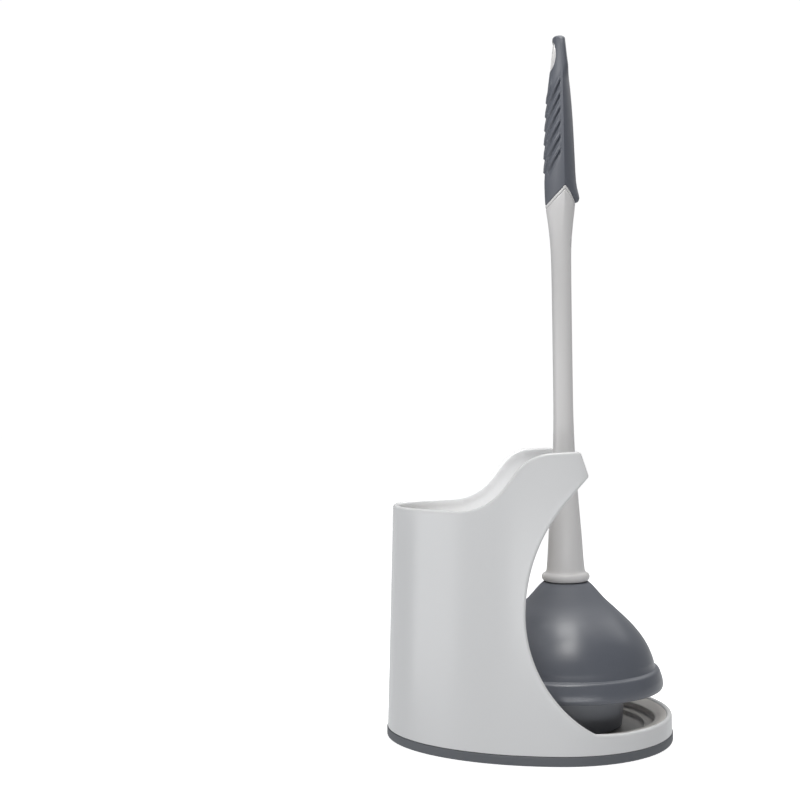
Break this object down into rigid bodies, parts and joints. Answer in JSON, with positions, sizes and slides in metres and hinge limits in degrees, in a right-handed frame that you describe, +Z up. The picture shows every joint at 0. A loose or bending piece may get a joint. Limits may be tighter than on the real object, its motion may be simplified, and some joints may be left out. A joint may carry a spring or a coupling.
{
  "type": "toilet plunger",
  "caption": "Toilet plunger with a flanged bell cup, tapered handle and ribbed soft grip with a hanging hole, standing in its open-fronted caddy with a stepped dish and a brush well.",
  "frame": {"origin": "on the floor under the middle of the caddy", "axes": "+Z up, +X towards the open end where the plunger stands, +Y across the caddy"},
  "size_m": [0.2118, 0.1828, 0.5213],
  "materials": {
    "caddy_plastic": "glossy off-white moulded plastic",
    "tray_plastic": "satin off-white moulded plastic",
    "handle_plastic": "satin off-white moulded plastic",
    "socket_plastic": "matt dark plastic",
    "ring_rubber": "matt slate-grey soft plastic",
    "grip_rubber": "matt slate-grey soft-touch overmould",
    "cup_rubber": "satin slate-grey rubber"
  },
  "bodies": {
    "caddy": {"caddy_shell": "caddy_plastic", "base_tray": "tray_plastic", "well_divider": "tray_plastic", "base_ring": "ring_rubber"},
    "plunger": {"shaft": "handle_plastic", "threaded_collar": "handle_plastic", "threaded_socket": "socket_plastic", "grip_core": "handle_plastic", "grip_sleeve": "grip_rubber", "cup_bell": "cup_rubber"},
    "cup_rim": {"cup_lip": "cup_rubber", "flange_skirt": "cup_rubber"},
    "flange_tip": {"flange_hem": "cup_rubber"}
  },
  "joints": [
    {"name": "plunger_lift", "type": "slide", "parent": "caddy", "child": "plunger", "axis": [-0.0143, 0, 0.9999], "range_m": [0, 0.235]},
    {"name": "bell_squash", "type": "slide", "parent": "plunger", "child": "cup_rim", "axis": [-0.0143, 0, 0.9999], "range_m": [0, 0.022], "stiffness_N_per_m": 1500, "deforming": ["cup_bell"]},
    {"name": "flange_fold", "type": "slide", "parent": "cup_rim", "child": "flange_tip", "axis": [-0.0143, 0, 0.9999], "range_m": [0, 0.016], "stiffness_N_per_m": 600, "deforming": ["flange_skirt"]}
  ]
}
